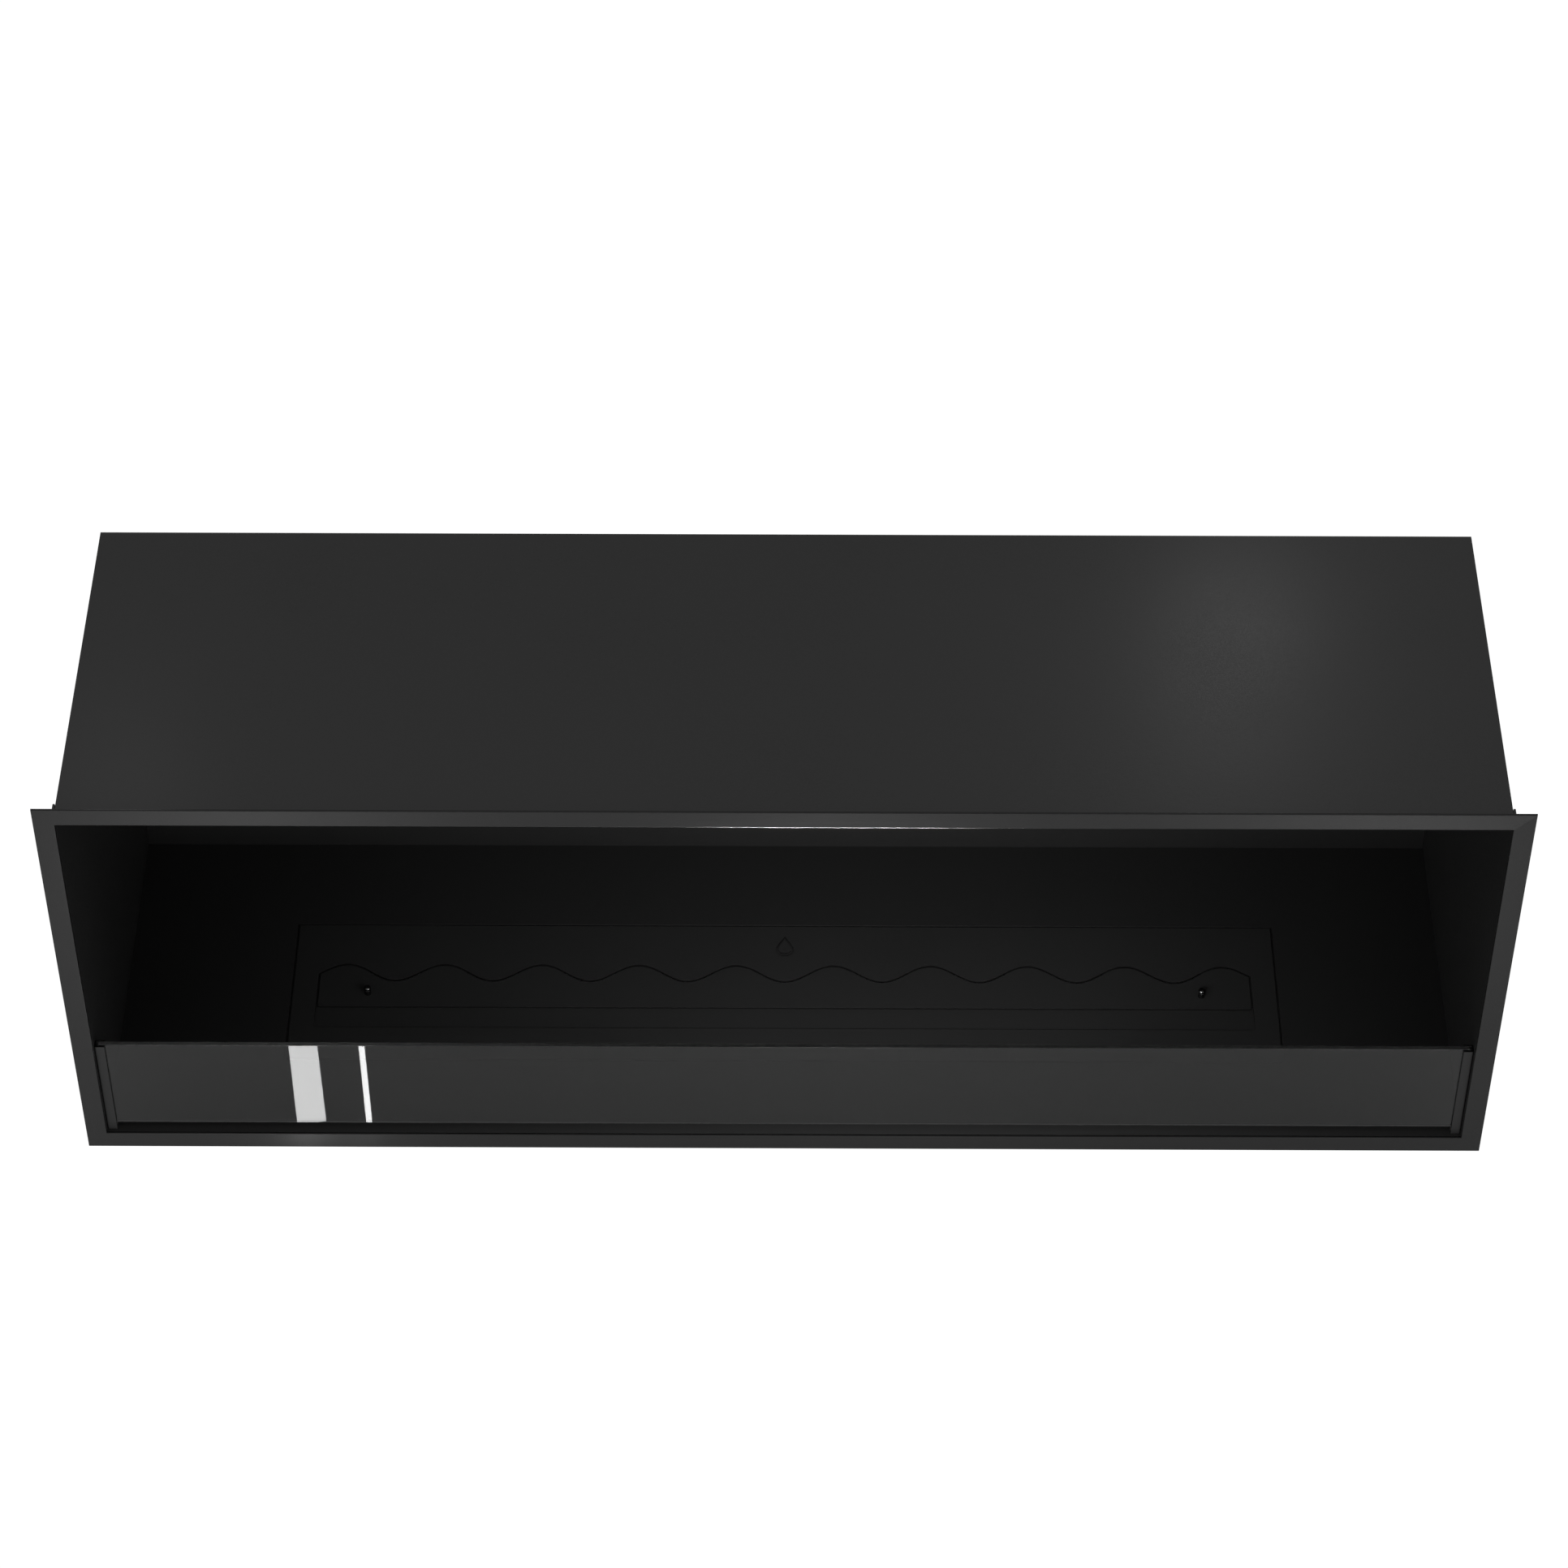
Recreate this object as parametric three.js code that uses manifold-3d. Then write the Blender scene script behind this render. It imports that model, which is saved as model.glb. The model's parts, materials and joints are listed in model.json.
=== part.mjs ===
// Built-in bio-ethanol fireplace: an open-fronted black steel casing for a wall niche, with a low glass
// screen and a flush burner whose wavy lid slides towards the front to open the flame slot.
// Millimetres, +Z up, front towards -Y. The origin is on the underside, below the middle of the object.
import * as THREE from "three";
import { mergeVertices } from "three/addons/utils/BufferGeometryUtils.js";
import Module from "manifold-3d";

const wasm = await Module();
wasm.setup();

// ---- Driving dimensions ----
const GAP = 0.3; // left between pieces that touch

const FRAME_WIDTH = 1232;
const FRAME_HEIGHT = 429;
const FRAME_FACE = 18; // width of the visible front rim
const FRAME_THICK = 2;
const COLLAR_THICK = 2; // return of the frame around the outside of the casing
const COLLAR_END = 23; // how far the collar reaches behind the front face
const DEPTH = 354; // front face to the outside of the back
const SHEET = 2; // casing steel

const WELL_DEPTH = 60; // the safety well hangs this far below the casing
const WELL_WIDTH = 880;
const WELL_LENGTH = 144;
const WELL_SHEET = 1.5;
const WELL_RIM = 23;

const DECK_WIDTH = 894.6;
const DECK_LENGTH = 160.2;
const DECK_THICK = 2;
const DECK_SETBACK = 90; // front face of the frame to the front edge of the deck
const DECK_CLEARANCE = 1.6; // gap between the deck and the casing floor
const STUD_DIAMETER = 4;
const STUD_LENGTH = 6;
const STUD_X = [-330, 0, 330];
const STUD_Y = [-58, 60];

const LID_WIDTH = 847.6;
const LID_THICK = 2;
const LID_FRONT = -19.7; // lid and wave positions are measured from the middle of the deck
const LID_SIDE_GAP = 1.6;
const WAVE_CRESTS = 10;
const WAVE_PITCH = 88.8;
const WAVE_CREST = 30.4;
const WAVE_TROUGH = 11;
const WAVE_GAP = 1.9;
const WAVE_STEPS = 12; // outline points for each wave
const RECESS_FRONT = -44.6;

const PEG_X = 379;
const PEG_Y = -4.1;
const PEG_DIAMETER = 6;
const PEG_HEIGHT = 9;
const PEG_SHANK = 3.4;
const PEG_CHAMFER = 0.8;
const LID_HOLE = 4;

const BED_WIDTH = 872;
const BED_LENGTH = 135;
const BED_THICK = 1.5;
const SLOT_WIDTH = 810;
const SLOT_FRONT = -10;
const SLOT_BACK = 24;

const TANK_WIDTH = 828;
const TANK_LENGTH = 84;
const TANK_DEPTH = 44;
const TANK_SHEET = 1.5;
const TANK_RIM = 8;
const WOOL_PADS = ["left", "middle", "right"];
const WOOL_HEIGHT = 26;
const SCREEN_THICK = 1;
const SCREEN_SLOTS = 27;
const SCREEN_SLOT_WIDTH = 12;
const SCREEN_SLOT_LENGTH = 60;

const NUT_ACROSS_FLATS = 7;
const NUT_HEIGHT = 3;
const NUT_HOLE = 4.6;

const CHANNEL_FACE = 9; // visible width of each glass channel
const CHANNEL_SHEET = 1.5;
const CHANNEL_FRONT = 5; // behind the front face
const CHANNEL_LENGTH = 8.5;
const CHANNEL_HEIGHT = 110;
const PANE_THICK = 4;
const PANE_FRONT = 7;
const PANE_LIFT = 6.8; // underside of the glass above the casing floor
const PANE_HEIGHT = 104.2;
const PANE_END_GAP = 1.6;

const RIVET_HEIGHTS = { lower: 25, upper: 88 }; // above the casing floor
const RIVET_SHANK = 4;
const RIVET_HEAD = 8;
const RIVET_DOME = 1.5;
const RIVET_HOLE = 4.6;

// ---- Worked out from them ----
const CASING_WIDTH = FRAME_WIDTH - 2 * (FRAME_FACE - SHEET);
const CASING_HEIGHT = FRAME_HEIGHT - 2 * (FRAME_FACE - SHEET);
const INSIDE_WIDTH = CASING_WIDTH - 2 * SHEET;
const FRONT = -DEPTH / 2;
const BACK = DEPTH / 2;
const SHEET_FRONT = FRONT + FRAME_THICK; // front edge of the casing sheets
const SHEET_LENGTH = BACK - SHEET_FRONT;
const FLOOR = WELL_DEPTH + SHEET; // top of the casing floor
const CEILING = WELL_DEPTH + CASING_HEIGHT - SHEET;
const MIDDLE_Z = WELL_DEPTH + CASING_HEIGHT / 2;
const COLLAR_INSET = FRAME_FACE - SHEET - GAP - COLLAR_THICK; // frame's outer edge to the collar
const DECK_Y = FRONT + DECK_SETBACK + DECK_LENGTH / 2; // middle of the deck, well and tank

// Heights inside the burner, measured from the top of the deck.
const DECK_BOTTOM = -DECK_THICK;
const BED_TOP = DECK_BOTTOM - GAP;
const BED_BOTTOM = BED_TOP - BED_THICK;
const TANK_TOP = BED_BOTTOM - GAP;
const TANK_FLOOR = TANK_TOP - TANK_DEPTH + TANK_SHEET;
const WOOL_BOTTOM = TANK_FLOOR + GAP;
const SCREEN_BOTTOM = WOOL_BOTTOM + WOOL_HEIGHT + GAP;

// ---- Materials ----
const blackCoat = () => new THREE.MeshStandardMaterial({ color: 0x232323, roughness: 0.55, metalness: 0.1 });
const burnerCoat = () => new THREE.MeshStandardMaterial({ color: 0x1c1c1c, roughness: 0.6, metalness: 0.1 });
const blackChrome = () => new THREE.MeshStandardMaterial({ color: 0x303030, roughness: 0.2, metalness: 0.9 });
const stainless = () => new THREE.MeshStandardMaterial({ color: 0xa8a8a8, roughness: 0.35, metalness: 1 });
const zincPlate = () => new THREE.MeshStandardMaterial({ color: 0xb4b6b8, roughness: 0.4, metalness: 1 });
const wool = () => new THREE.MeshStandardMaterial({ color: 0xe8e4da, roughness: 1, metalness: 0 });
const silicone = () => new THREE.MeshStandardMaterial({ color: 0x141414, roughness: 0.9, metalness: 0 });
const smokedGlass = () =>
  new THREE.MeshStandardMaterial({ color: 0x4a4e4c, roughness: 0.02, transparent: true, opacity: 0.5 });

// ---- Solids and booleans ----
function toSolid(geometry) {
  const bare = geometry.clone();
  bare.deleteAttribute("normal");
  bare.deleteAttribute("uv");
  const merged = mergeVertices(bare, 1e-4);
  return new wasm.Manifold(
    new wasm.Mesh({
      numProp: 3,
      vertProperties: new Float32Array(merged.attributes.position.array),
      triVerts: new Uint32Array(merged.index.array),
    }),
  );
}

function toGeometry(solid) {
  const mesh = solid.getMesh();
  const geometry = new THREE.BufferGeometry();
  geometry.setAttribute("position", new THREE.BufferAttribute(new Float32Array(mesh.vertProperties), 3));
  geometry.setIndex(new THREE.BufferAttribute(new Uint32Array(mesh.triVerts), 1));
  geometry.computeVertexNormals();
  return geometry;
}

function join(...geometries) {
  return toGeometry(geometries.map(toSolid).reduce((all, next) => all.add(next)));
}

function cut(geometry, ...tools) {
  return toGeometry(tools.map(toSolid).reduce((rest, tool) => rest.subtract(tool), toSolid(geometry)));
}

// A box between two corners.
function block(x0, x1, y0, y1, z0, z1) {
  const geometry = new THREE.BoxGeometry(x1 - x0, y1 - y0, z1 - z0);
  return geometry.translate((x0 + x1) / 2, (y0 + y1) / 2, (z0 + z1) / 2);
}

// A flat plate in XY from an outline, with its underside at the given height.
function plate(shape, bottom, thickness) {
  const settings = { depth: thickness, bevelEnabled: false, curveSegments: 8 };
  return new THREE.ExtrudeGeometry(shape, settings).translate(0, 0, bottom);
}

function rectangle(x0, x1, y0, y1, path = new THREE.Shape()) {
  path.moveTo(x0, y0);
  path.lineTo(x1, y0);
  path.lineTo(x1, y1);
  path.lineTo(x0, y1);
  path.closePath();
  return path;
}

function roundHole(x, y, diameter) {
  return new THREE.Path().absarc(x, y, diameter / 2, 0, 2 * Math.PI, true);
}

function part(name, geometry, material, x = 0, y = 0, z = 0) {
  const mesh = new THREE.Mesh(geometry, material);
  mesh.name = name;
  mesh.position.set(x, y, z);
  return mesh;
}

function hexNut() {
  const corner = NUT_ACROSS_FLATS / Math.sqrt(3);
  const shape = new THREE.Shape();
  for (let i = 0; i < 6; i++) {
    const angle = (i * Math.PI) / 3;
    if (i === 0) shape.moveTo(corner, 0);
    else shape.lineTo(corner * Math.cos(angle), corner * Math.sin(angle));
  }
  shape.closePath();
  shape.holes.push(roundHole(0, 0, NUT_HOLE));
  return plate(shape, 0, NUT_HEIGHT);
}

// ---- Casing: five sheets, open at the front ----
function casingFloor() {
  const shape = rectangle(-CASING_WIDTH / 2, CASING_WIDTH / 2, SHEET_FRONT, BACK);
  const halfWidth = DECK_WIDTH / 2 + DECK_CLEARANCE;
  const halfLength = DECK_LENGTH / 2 + DECK_CLEARANCE;
  const [front, back] = [DECK_Y - halfLength, DECK_Y + halfLength];
  shape.holes.push(rectangle(-halfWidth, halfWidth, front, back, new THREE.Path()));
  return part("casing_floor", plate(shape, WELL_DEPTH, SHEET), blackCoat());
}

function casingTop() {
  return part("casing_top", new THREE.BoxGeometry(CASING_WIDTH, SHEET_LENGTH, SHEET), blackCoat(),
    0, SHEET_FRONT + SHEET_LENGTH / 2, CEILING + SHEET / 2);
}

function casingBack() {
  const width = INSIDE_WIDTH - 2 * GAP;
  const height = CEILING - FLOOR - 2 * GAP;
  return part("casing_back", new THREE.BoxGeometry(width, SHEET, height), blackCoat(),
    0, BACK - SHEET / 2, MIDDLE_Z);
}

// A round tool lying along X, for the rivet holes of one side.
function rivetDrills(side) {
  const length = 2 * FRAME_FACE;
  return Object.values(RIVET_HEIGHTS).map((height) => {
    const drill = new THREE.CylinderGeometry(RIVET_HOLE / 2, RIVET_HOLE / 2, length, 12);
    drill.rotateZ(Math.PI / 2);
    return drill.translate((side * CASING_WIDTH) / 2, rivetY(), FLOOR + height);
  });
}

function rivetY() {
  return FRONT + CHANNEL_FRONT + CHANNEL_LENGTH / 2;
}

function casingSide(name, side) {
  const outer = (side * CASING_WIDTH) / 2;
  const inner = outer - side * SHEET;
  const [left, right] = [Math.min(outer, inner), Math.max(outer, inner)];
  const wall = block(left, right, SHEET_FRONT, BACK, FLOOR + GAP, CEILING - GAP);
  return part(name, cut(wall, ...rivetDrills(side)), blackCoat());
}

// ---- Front frame: four mitred face bars, with a collar strip along each side of the casing ----
// A bar over the top of the frame's opening, before its mitres are cut.
function topBar(halfLength, halfHeight, inset, front, back) {
  return block(-halfLength, halfLength, front, back, halfHeight - FRAME_FACE, halfHeight - inset);
}

// A triangular bar that takes off one end of a rail along the 45 degree line through the frame's corner.
function mitreCutter(side, cornerX, cornerZ) {
  const size = 2 * FRAME_FACE;
  const corner = cornerX - GAP / 2;
  const shape = new THREE.Shape();
  shape.moveTo(side * (corner + size), cornerZ + size);
  shape.lineTo(side * (corner - size), cornerZ - size);
  shape.lineTo(side * (corner + size), cornerZ - size);
  shape.closePath();
  const geometry = new THREE.ExtrudeGeometry(shape, { depth: 4 * FRAME_THICK, bevelEnabled: false });
  return geometry.rotateX(Math.PI / 2).translate(0, 3 * FRAME_THICK, 0);
}

// The face bar is thinned by the gap where the collars and the casing sheets stand behind it, so the
// rest of its rear is one flat band that lies on the wall around the niche.
function faceBar(halfLength, halfHeight) {
  const bar = topBar(halfLength, halfHeight, 0, 0, FRAME_THICK);
  const seat = topBar(2 * halfLength, halfHeight, COLLAR_INSET - GAP, FRAME_THICK - GAP, 2 * FRAME_THICK);
  const mitres = [-1, 1].map((side) => mitreCutter(side, halfLength, halfHeight));
  return cut(bar, seat.translate(0, 0, -GAP), ...mitres);
}

function frontFrame() {
  const group = new THREE.Group();
  group.position.set(0, FRONT, MIDDLE_Z);
  const sizes = [[FRAME_WIDTH / 2, FRAME_HEIGHT / 2], [FRAME_HEIGHT / 2, FRAME_WIDTH / 2]];
  ["top", "right", "bottom", "left"].forEach((where, quarterTurns) => {
    const turn = (quarterTurns * Math.PI) / 2;
    group.add(part("frame_" + where, faceBar(...sizes[quarterTurns % 2]).rotateY(turn), blackCoat()));
  });
  return group;
}

function collar(name, side) {
  const near = side * (CASING_WIDTH / 2 + GAP);
  const far = near + side * COLLAR_THICK;
  const top = WELL_DEPTH + CASING_HEIGHT;
  const [left, right] = [Math.min(near, far), Math.max(near, far)];
  const strip = block(left, right, SHEET_FRONT, FRONT + COLLAR_END, WELL_DEPTH, top);
  return part(name, cut(strip, ...rivetDrills(side)), blackCoat());
}

// ---- Glass screen: a pane dropped into two upright channels ----
function glassChannel(name, side) {
  const wall = (INSIDE_WIDTH / 2 - GAP) * side;
  const edge = (INSIDE_WIDTH / 2 - CHANNEL_FACE) * side;
  const web = wall - side * CHANNEL_SHEET;
  const front = FRONT + CHANNEL_FRONT;
  const back = front + CHANNEL_LENGTH;
  const shape = new THREE.Shape();
  shape.moveTo(wall, front);
  shape.lineTo(edge, front);
  shape.lineTo(edge, front + CHANNEL_SHEET);
  shape.lineTo(web, front + CHANNEL_SHEET);
  shape.lineTo(web, back - CHANNEL_SHEET);
  shape.lineTo(edge, back - CHANNEL_SHEET);
  shape.lineTo(edge, back);
  shape.lineTo(wall, back);
  shape.closePath();
  const channel = plate(shape, FLOOR + GAP, CHANNEL_HEIGHT - GAP);
  return part(name, cut(channel, ...rivetDrills(side)), blackCoat());
}

function restBlock(name, side) {
  const near = INSIDE_WIDTH / 2 - CHANNEL_FACE + GAP;
  const far = INSIDE_WIDTH / 2 - CHANNEL_SHEET - 2 * GAP;
  const length = CHANNEL_LENGTH - 2 * (CHANNEL_SHEET + GAP);
  const height = PANE_LIFT - 2 * GAP;
  const y = FRONT + CHANNEL_FRONT + CHANNEL_LENGTH / 2;
  return part(name, new THREE.BoxGeometry(far - near, length, height), silicone(),
    (side * (near + far)) / 2, y, FLOOR + GAP + height / 2);
}

function glassPane() {
  const width = INSIDE_WIDTH - 2 * (GAP + CHANNEL_SHEET + PANE_END_GAP);
  return part("glass_pane", new THREE.BoxGeometry(width, PANE_THICK, PANE_HEIGHT), smokedGlass(),
    0, FRONT + PANE_FRONT + PANE_THICK / 2, FLOOR + PANE_LIFT + PANE_HEIGHT / 2);
}

// A blind rivet through the channel, the casing and the frame's collar, with its dome outside.
function channelRivet(name, side, height) {
  const headAt = RIVET_DOME;
  const dome = new THREE.EllipseCurve(0, 0, RIVET_HEAD / 2, headAt, 0, Math.PI / 2).getPoints(4);
  const shankLength = COLLAR_THICK + GAP + SHEET + GAP + CHANNEL_SHEET;
  const profile = [
    new THREE.Vector2(0, -shankLength),
    new THREE.Vector2(RIVET_SHANK / 2, -shankLength),
    new THREE.Vector2(RIVET_SHANK / 2, 0),
    ...dome,
  ];
  profile[profile.length - 1].x = 0;
  const rivet = part(name, new THREE.LatheGeometry(profile, 16), blackCoat());
  rivet.rotation.z = (-side * Math.PI) / 2;
  rivet.position.set(side * (CASING_WIDTH / 2 + COLLAR_THICK + 2 * GAP), rivetY(), FLOOR + height);
  return rivet;
}

// ---- Trays: the well under the casing floor and the tank in it ----
// Five plates: the floor under four walls, with the short walls between the long ones.
function openTray(name, width, length, bottom, top, sheet, material) {
  const [x, y] = [width / 2, length / 2];
  const foot = bottom + sheet + GAP;
  const shortEnd = y - sheet - GAP;
  return [
    part(name + "_floor", block(-x, x, -y, y, bottom, bottom + sheet), material()),
    part(name + "_front", block(-x, x, -y, -y + sheet, foot, top), material()),
    part(name + "_back", block(-x, x, y - sheet, y, foot, top), material()),
    part(name + "_left", block(-x, -x + sheet, -shortEnd, shortEnd, foot, top), material()),
    part(name + "_right", block(x - sheet, x, -shortEnd, shortEnd, foot, top), material()),
  ];
}

// The flat ring welded around a tray's mouth.
function trayRim(width, length, rim, top, sheet) {
  const [x, y] = [width / 2 + GAP, length / 2 + GAP];
  const shape = rectangle(-x - rim, x + rim, -y - rim, y + rim);
  shape.holes.push(rectangle(-x, x, -y, y, new THREE.Path()));
  return plate(shape, top - sheet, sheet);
}

function burnerWell() {
  const group = new THREE.Group();
  group.position.set(0, DECK_Y, 0);
  const top = WELL_DEPTH - GAP;
  group.add(...openTray("well", WELL_WIDTH, WELL_LENGTH, 0, top, WELL_SHEET, blackCoat));
  group.add(part("well_rim", trayRim(WELL_WIDTH, WELL_LENGTH, WELL_RIM, top, WELL_SHEET), blackCoat()));
  return group;
}

// ---- Burner: everything that lifts out of the well together ----
function waveY(x) {
  const middle = (WAVE_CREST + WAVE_TROUGH) / 2;
  const height = (WAVE_CREST - WAVE_TROUGH) / 2;
  const firstCrest = (-(WAVE_CRESTS - 1) * WAVE_PITCH) / 2;
  return middle + height * Math.cos((2 * Math.PI * (x - firstCrest)) / WAVE_PITCH);
}

// A rectangle whose back edge is the wave moved back by the given gap.
function wavyOutline(halfWidth, front, gap, path) {
  const steps = Math.round((2 * halfWidth * WAVE_STEPS) / WAVE_PITCH);
  path.moveTo(-halfWidth, front);
  path.lineTo(halfWidth, front);
  for (let i = 0; i <= steps; i++) {
    const x = halfWidth - (2 * halfWidth * i) / steps;
    path.lineTo(x, waveY(x) + gap);
  }
  path.closePath();
  return path;
}

function burnerDeck() {
  const shape = rectangle(-DECK_WIDTH / 2, DECK_WIDTH / 2, -DECK_LENGTH / 2, DECK_LENGTH / 2);
  shape.holes.push(wavyOutline(LID_WIDTH / 2 + LID_SIDE_GAP, RECESS_FRONT, WAVE_GAP, new THREE.Path()));
  const studs = STUD_X.flatMap((x) => STUD_Y.map((y) => {
    const length = STUD_LENGTH + DECK_THICK / 2;
    const stud = new THREE.CylinderGeometry(STUD_DIAMETER / 2, STUD_DIAMETER / 2, length, 12);
    stud.rotateX(Math.PI / 2);
    return stud.translate(x, y, DECK_BOTTOM - STUD_LENGTH + length / 2);
  }));
  return part("burner_deck", join(plate(shape, DECK_BOTTOM, DECK_THICK), ...studs), burnerCoat());
}

// The ledge that the lid slides on, open where the flames rise.
function slideBed() {
  const shape = rectangle(-BED_WIDTH / 2, BED_WIDTH / 2, -BED_LENGTH / 2, BED_LENGTH / 2);
  shape.holes.push(rectangle(-SLOT_WIDTH / 2, SLOT_WIDTH / 2, SLOT_FRONT, SLOT_BACK, new THREE.Path()));
  STUD_X.forEach((x) => STUD_Y.forEach((y) => shape.holes.push(roundHole(x, y, NUT_HOLE))));
  return part("slide_bed", plate(shape, BED_BOTTOM, BED_THICK), burnerCoat());
}

function deckNuts() {
  const names = ["left", "middle", "right"];
  return STUD_X.flatMap((x, i) => STUD_Y.map((y, j) => {
    const name = "deck_nut_" + names[i] + (j === 0 ? "_front" : "_back");
    return part(name, hexNut(), zincPlate(), x, y, BED_BOTTOM - GAP - NUT_HEIGHT);
  }));
}

function fuelTank() {
  const group = new THREE.Group();
  const bottom = TANK_TOP - TANK_DEPTH;
  group.add(...openTray("tank", TANK_WIDTH, TANK_LENGTH, bottom, TANK_TOP, TANK_SHEET, stainless));
  group.add(part("tank_rim", trayRim(TANK_WIDTH, TANK_LENGTH, TANK_RIM, TANK_TOP, TANK_SHEET), stainless()));
  return group;
}

function woolPads() {
  const inner = TANK_WIDTH - 2 * (TANK_SHEET + GAP);
  const width = (inner - (WOOL_PADS.length - 1) * GAP) / WOOL_PADS.length;
  const length = TANK_LENGTH - 2 * (TANK_SHEET + GAP);
  return WOOL_PADS.map((where, i) => {
    const x = (i - (WOOL_PADS.length - 1) / 2) * (width + GAP);
    return part("fibre_pad_" + where, new THREE.BoxGeometry(width, length, WOOL_HEIGHT), wool(),
      x, 0, WOOL_BOTTOM + WOOL_HEIGHT / 2);
  });
}

// A slotted steel sheet that holds the fibre pads down.
function fibreScreen() {
  const x = TANK_WIDTH / 2 - TANK_SHEET - GAP;
  const y = TANK_LENGTH / 2 - TANK_SHEET - GAP;
  const top = SCREEN_BOTTOM + SCREEN_THICK;
  const pitch = (2 * x) / SCREEN_SLOTS;
  const slots = Array.from({ length: SCREEN_SLOTS }, (_, i) => {
    const middle = -x + (i + 0.5) * pitch;
    const [x0, x1] = [middle - SCREEN_SLOT_WIDTH / 2, middle + SCREEN_SLOT_WIDTH / 2];
    const halfLength = SCREEN_SLOT_LENGTH / 2;
    return block(x0, x1, -halfLength, halfLength, SCREEN_BOTTOM - SCREEN_THICK, top + SCREEN_THICK);
  });
  return part("fibre_screen", cut(block(-x, x, -y, y, SCREEN_BOTTOM, top), ...slots), stainless());
}

// ---- Sliding lid with its two grip pegs ----
function lidPlate() {
  const shape = wavyOutline(LID_WIDTH / 2, LID_FRONT, 0, new THREE.Shape());
  for (const x of [-PEG_X, PEG_X]) shape.holes.push(roundHole(x, PEG_Y, LID_HOLE));
  return part("lid_plate", plate(shape, DECK_BOTTOM, LID_THICK), burnerCoat());
}

// A chamfered peg whose shank is set into the lid and ends flush with its underside.
function gripPeg(name, x) {
  const radius = PEG_DIAMETER / 2;
  const top = PEG_HEIGHT;
  const profile = [
    new THREE.Vector2(0, DECK_BOTTOM),
    new THREE.Vector2(PEG_SHANK / 2, DECK_BOTTOM),
    new THREE.Vector2(PEG_SHANK / 2, GAP),
    new THREE.Vector2(radius, GAP),
    new THREE.Vector2(radius, top - PEG_CHAMFER),
    new THREE.Vector2(radius - PEG_CHAMFER, top),
    new THREE.Vector2(0, top),
  ];
  const geometry = new THREE.LatheGeometry(profile, 16).rotateX(Math.PI / 2);
  return part(name, geometry, blackChrome(), x, PEG_Y, 0);
}

function slidingLid() {
  const group = new THREE.Group();
  group.add(lidPlate());
  group.add(gripPeg("grip_peg_left", -PEG_X), gripPeg("grip_peg_right", PEG_X));
  return group;
}

function burner() {
  const group = new THREE.Group();
  group.position.set(0, DECK_Y, FLOOR);
  group.add(burnerDeck(), slideBed(), ...deckNuts(), fuelTank(), ...woolPads(), fibreScreen(), slidingLid());
  return group;
}

function glassScreen() {
  const group = new THREE.Group();
  for (const [where, side] of [["left", -1], ["right", 1]]) {
    group.add(glassChannel("glass_channel_" + where, side), restBlock("glass_rest_" + where, side));
    for (const [level, height] of Object.entries(RIVET_HEIGHTS)) {
      group.add(channelRivet("channel_rivet_" + where + "_" + level, side, height));
    }
  }
  group.add(glassPane());
  return group;
}

const fireplace = new THREE.Group();
fireplace.add(casingFloor(), casingTop(), casingBack());
fireplace.add(casingSide("casing_left", -1), casingSide("casing_right", 1));
fireplace.add(frontFrame(), collar("collar_left", -1), collar("collar_right", 1));
fireplace.add(glassScreen(), burnerWell(), burner());

export default fireplace;
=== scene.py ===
"""Built-in bioethanol fireplace: a black steel insert with a low glass screen and a flush burner under a
wavy sliding lid. Pieces are drawn in millimetres in the part's own frame, and stored in metres."""
import json
import math

import bmesh
import bpy
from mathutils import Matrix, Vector, noise


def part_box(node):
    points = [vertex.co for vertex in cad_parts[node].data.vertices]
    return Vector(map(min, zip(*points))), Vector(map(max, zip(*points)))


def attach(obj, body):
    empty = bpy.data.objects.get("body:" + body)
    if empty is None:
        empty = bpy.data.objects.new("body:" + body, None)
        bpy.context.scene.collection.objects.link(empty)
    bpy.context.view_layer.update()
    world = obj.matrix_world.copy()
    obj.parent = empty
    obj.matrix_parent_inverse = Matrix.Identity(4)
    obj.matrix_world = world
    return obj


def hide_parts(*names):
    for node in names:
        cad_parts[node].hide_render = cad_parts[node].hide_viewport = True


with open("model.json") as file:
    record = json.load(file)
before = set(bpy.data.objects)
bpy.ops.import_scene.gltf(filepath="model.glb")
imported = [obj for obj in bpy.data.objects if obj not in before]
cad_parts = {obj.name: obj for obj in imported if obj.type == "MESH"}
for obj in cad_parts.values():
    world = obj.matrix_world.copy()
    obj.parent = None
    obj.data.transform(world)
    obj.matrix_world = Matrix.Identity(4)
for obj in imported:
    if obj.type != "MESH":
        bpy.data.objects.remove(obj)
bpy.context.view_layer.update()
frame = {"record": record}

MM = 0.001
scene = bpy.context.scene
record = frame["record"]
BODY = {node: body for body, nodes in record["behaviour"]["bodies"].items() for node in nodes}
SLOT = {part["node"]: part["material_slot"] for part in record["subparts"]}


# ---- Camera ----
def add_camera():
    data = bpy.data.cameras.new("camera")
    data.lens = 101.63
    data.sensor_width = 36
    data.clip_end = 100
    camera = bpy.data.objects.new("camera", data)
    camera.location = (0.0121, -2.6850, 3.0781)
    pitch_down, turn = 45.713, 0.269
    camera.rotation_euler = (math.radians(90 - pitch_down), 0, math.radians(turn))
    scene.collection.objects.link(camera)
    scene.camera = camera


add_camera()


# ---- Sizes, in millimetres ----
def extent(*nodes):
    """x0, x1, y0, y1, z0, z1 around the CAD nodes."""
    boxes = [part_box(node) for node in nodes]
    ranges = []
    for axis in range(3):
        ranges += [min(low[axis] for low, _ in boxes) / MM, max(high[axis] for _, high in boxes) / MM]
    return ranges


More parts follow.
